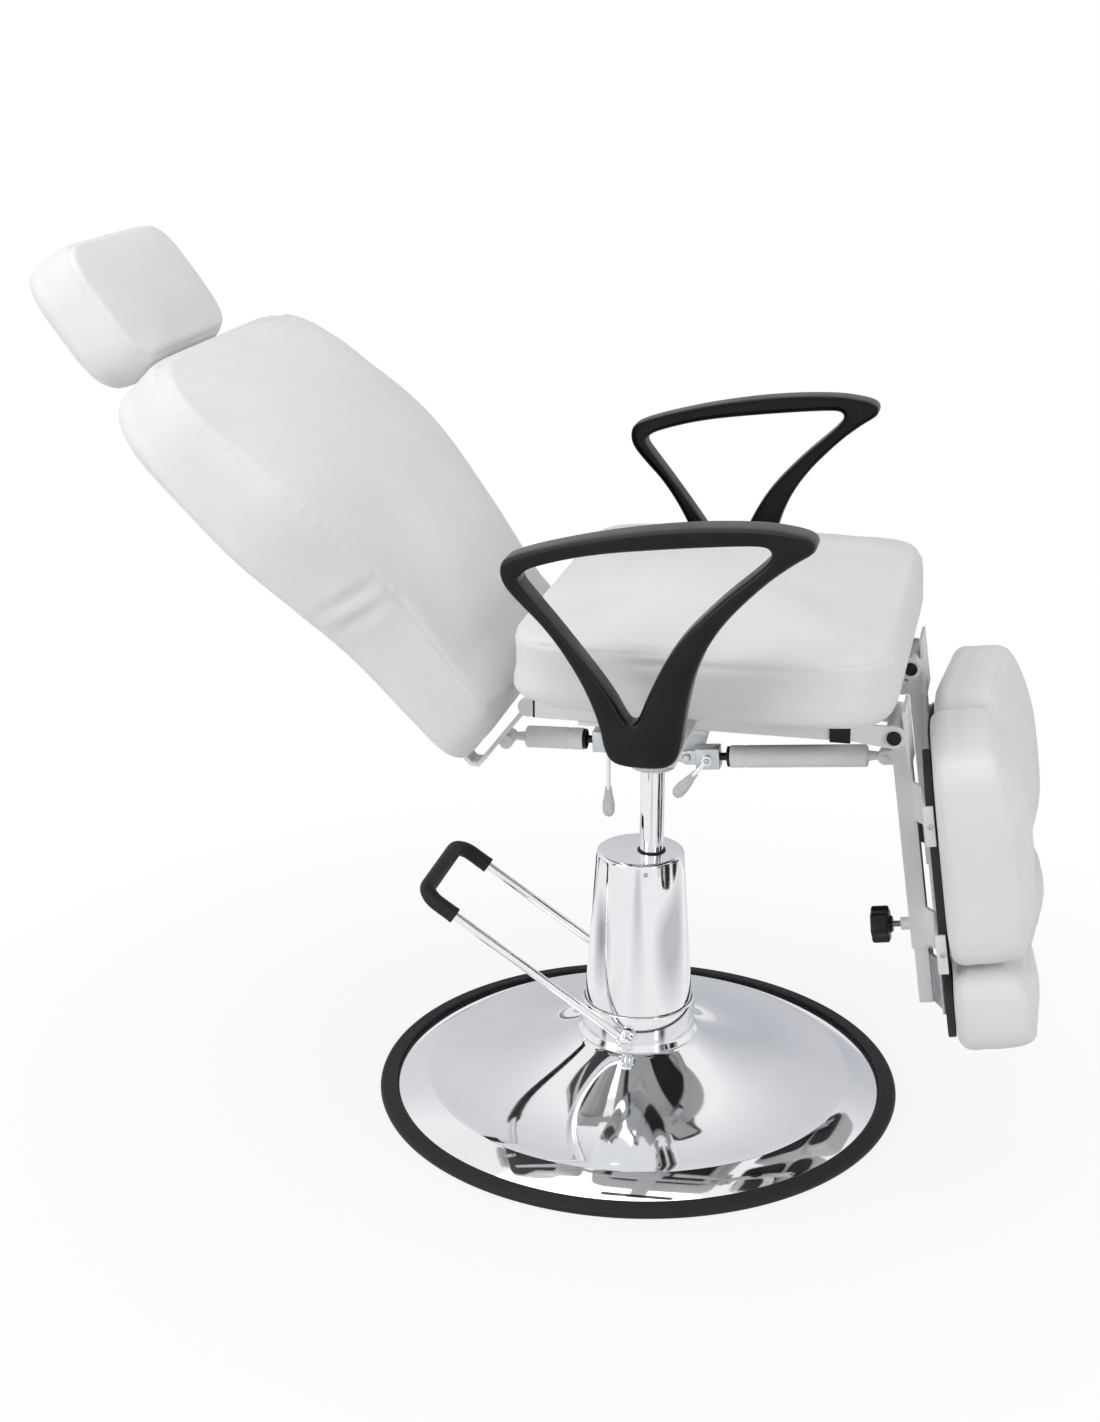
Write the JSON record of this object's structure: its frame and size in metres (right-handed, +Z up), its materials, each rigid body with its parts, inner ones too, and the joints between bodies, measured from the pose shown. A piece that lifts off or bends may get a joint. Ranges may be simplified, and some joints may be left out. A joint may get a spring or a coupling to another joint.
{
  "type": "pedicure chair",
  "caption": "Reclining treatment chair on a foot-pumped column with a round base, loop arm rests, a sliding head rest and separately hinged leg rests with sliding foot pads.",
  "frame": {"origin": "on the floor, at the middle of the round base", "axes": "+X towards the foot rests, +Y to the sitter's left, +Z up"},
  "size_m": [1.3075, 0.817, 1.1432],
  "materials": {
    "chrome": "polished chrome",
    "steel": "plain steel",
    "black_steel": "black hard-coated rod",
    "grey_steel": "grey zinc-plated sheet",
    "zinc": "zinc-plated casting",
    "white_paint": "white powder coat",
    "white_leather": "white imitation leather over foam",
    "black_plastic": "black satin moulding",
    "black_board": "plywood under black lining",
    "rubber": "black matt rubber"
  },
  "bodies": {
    "base": {"floor_plate": "steel", "base_trim": "rubber", "base_dish": "chrome", "pump_body": "steel", "pump_cover": "chrome", "pump_collar": "chrome"},
    "pedal": {"pedal_shaft": "steel", "pedal_bar": "chrome", "pedal_grip": "rubber"},
    "lift": {"piston_rod": "chrome"},
    "seat": {"swivel_hub": "white_paint", "carrier": "white_paint", "seat_rail_right": "white_paint", "seat_rail_left": "white_paint", "front_cross_tube": "white_paint", "seat_board": "black_board", "seat_cushion": "white_leather", "armrest_right": "black_plastic", "armrest_left": "black_plastic", "arm_bracket_right": "white_paint", "arm_bracket_left": "white_paint", "back_hinge_right": "white_paint", "back_hinge_left": "white_paint", "leg_hinge_bolt_right": "black_plastic", "leg_hinge_bolt_left": "black_plastic"},
    "back": {"back_strap_right": "white_paint", "back_strap_left": "white_paint", "back_board": "black_board", "back_cushion": "white_leather", "headrest_sleeve": "white_paint"},
    "headrest": {"headrest_bar": "steel", "headrest_cushion": "white_leather"},
    "back_strut_rod": {"back_strut_rod": "black_steel", "back_strut_head": "zinc"},
    "back_strut_cylinder": {"back_strut_cylinder": "white_paint"},
    "back_lever": {"back_strut_lever": "chrome"},
    "leg_right": {"leg_frame_right": "white_paint", "leg_board_right": "black_board", "leg_cushion_right": "white_leather"},
    "foot_right": {"foot_tube_right": "white_paint", "foot_bracket_right": "grey_steel", "foot_board_right": "black_board", "foot_cushion_right": "white_leather"},
    "clamp_right": {"clamp_knob_right": "black_plastic"},
    "leg_strut_rod_right": {"leg_strut_right_rod": "black_steel", "leg_strut_right_head": "zinc"},
    "leg_strut_cylinder_right": {"leg_strut_right_cylinder": "white_paint"},
    "leg_lever_right": {"leg_strut_right_lever": "chrome"},
    "leg_left": {"leg_frame_left": "white_paint", "leg_board_left": "black_board", "leg_cushion_left": "white_leather"},
    "foot_left": {"foot_tube_left": "white_paint", "foot_bracket_left": "grey_steel", "foot_board_left": "black_board", "foot_cushion_left": "white_leather"},
    "clamp_left": {"clamp_knob_left": "black_plastic"},
    "leg_strut_rod_left": {"leg_strut_left_rod": "black_steel", "leg_strut_left_head": "zinc"},
    "leg_strut_cylinder_left": {"leg_strut_left_cylinder": "white_paint"},
    "leg_lever_left": {"leg_strut_left_lever": "chrome"}
  },
  "joints": [
    {"name": "pedal_press", "type": "hinge", "parent": "base", "child": "pedal", "pos_m": [0, 0, 0.108], "axis": [0, -1, 0], "range_deg": [0, 20], "stiffness_Nm_per_rad": 4, "springref_deg": -28.65},
    {"name": "column_lift", "type": "slide", "parent": "base", "child": "lift", "axis": [0, 0, 1], "range_m": [-0.115, 0.03]},
    {"name": "seat_swivel", "type": "hinge", "parent": "lift", "child": "seat", "pos_m": [0.015, 0, 0.5], "axis": [0, 0, 1], "continuous": true},
    {"name": "back_recline", "type": "hinge", "parent": "seat", "child": "back", "pos_m": [-0.114, 0, 0.596], "axis": [0, 1, 0], "range_deg": [0, 28]},
    {"name": "headrest_slide", "type": "slide", "parent": "back", "child": "headrest", "axis": [-0.7009, 0, 0.7132], "range_m": [0, 0.06]},
    {"name": "back_strut_rod_swing", "type": "hinge", "parent": "seat", "child": "back_strut_rod", "pos_m": [0, -0.107, 0.54], "axis": [0, 1, 0], "range_deg": [0, 8.3]},
    {"name": "back_strut_cylinder_swing", "type": "hinge", "parent": "back", "child": "back_strut_cylinder", "pos_m": [-0.1506, -0.107, 0.5348], "axis": [0, 1, 0], "range_deg": [-20.5, 0]},
    {"name": "back_lever_pull", "type": "hinge", "parent": "back_strut_rod", "child": "back_lever", "pos_m": [-0.02698, -0.0922, 0.53907], "axis": [0, 1, 0], "range_deg": [0, 12], "stiffness_Nm_per_rad": 0.08, "springref_deg": -22.92},
    {"name": "leg_lift_right", "type": "hinge", "parent": "seat", "child": "leg_right", "pos_m": [0.338, -0.137, 0.598], "axis": [0, -1, 0], "range_deg": [0, 75]},
    {"name": "foot_slide_right", "type": "slide", "parent": "leg_right", "child": "foot_right", "axis": [0.1461, 0, -0.9893], "range_m": [0, 0.08]},
    {"name": "leg_strut_rod_swing_right", "type": "hinge", "parent": "seat", "child": "leg_strut_rod_right", "pos_m": [0.0825, -0.137, 0.536], "axis": [0, -1, 0], "range_deg": [0, 2]},
    {"name": "leg_strut_cylinder_swing_right", "type": "hinge", "parent": "leg_right", "child": "leg_strut_cylinder_right", "pos_m": [0.32601, -0.137, 0.55802], "axis": [0, -1, 0], "range_deg": [-74, 0]},
    {"name": "leg_lever_pull_right", "type": "hinge", "parent": "leg_strut_rod_right", "child": "leg_lever_right", "pos_m": [0.10939, -0.1518, 0.53843], "axis": [0, -1, 0], "range_deg": [0, 12], "stiffness_Nm_per_rad": 0.08, "springref_deg": -22.92},
    {"name": "leg_lift_left", "type": "hinge", "parent": "seat", "child": "leg_left", "pos_m": [0.338, 0.137, 0.598], "axis": [0, -1, 0], "range_deg": [0, 75]},
    {"name": "foot_slide_left", "type": "slide", "parent": "leg_left", "child": "foot_left", "axis": [0.1461, 0, -0.9893], "range_m": [0, 0.08]},
    {"name": "leg_strut_rod_swing_left", "type": "hinge", "parent": "seat", "child": "leg_strut_rod_left", "pos_m": [0.0825, 0.137, 0.536], "axis": [0, -1, 0], "range_deg": [0, 2]},
    {"name": "leg_strut_cylinder_swing_left", "type": "hinge", "parent": "leg_left", "child": "leg_strut_cylinder_left", "pos_m": [0.32601, 0.137, 0.55802], "axis": [0, -1, 0], "range_deg": [-74, 0]},
    {"name": "leg_lever_pull_left", "type": "hinge", "parent": "leg_strut_rod_left", "child": "leg_lever_left", "pos_m": [0.10939, 0.1518, 0.53843], "axis": [0, -1, 0], "range_deg": [0, 12], "stiffness_Nm_per_rad": 0.08, "springref_deg": -22.92},
    {"name": "clamp_turn_right", "type": "hinge", "parent": "leg_right", "child": "clamp_right", "pos_m": [0.36757, -0.137, 0.33955], "axis": [-0.9893, 0, -0.1461], "continuous": true},
    {"name": "clamp_turn_left", "type": "hinge", "parent": "leg_left", "child": "clamp_left", "pos_m": [0.3745, 0.148, 0.34057], "axis": [0, 1, 0], "continuous": true}
  ],
  "couplings": [
    {"joint": "back_strut_rod_swing", "follows": "back_recline", "ratio": 0.2885},
    {"joint": "back_strut_cylinder_swing", "follows": "back_recline", "ratio": -0.7115},
    {"joint": "leg_strut_rod_swing_right", "follows": "leg_lift_right", "ratio": 0.0215},
    {"joint": "leg_strut_cylinder_swing_right", "follows": "leg_lift_right", "ratio": -0.9785},
    {"joint": "leg_strut_rod_swing_left", "follows": "leg_lift_left", "ratio": 0.0215},
    {"joint": "leg_strut_cylinder_swing_left", "follows": "leg_lift_left", "ratio": -0.9785}
  ]
}
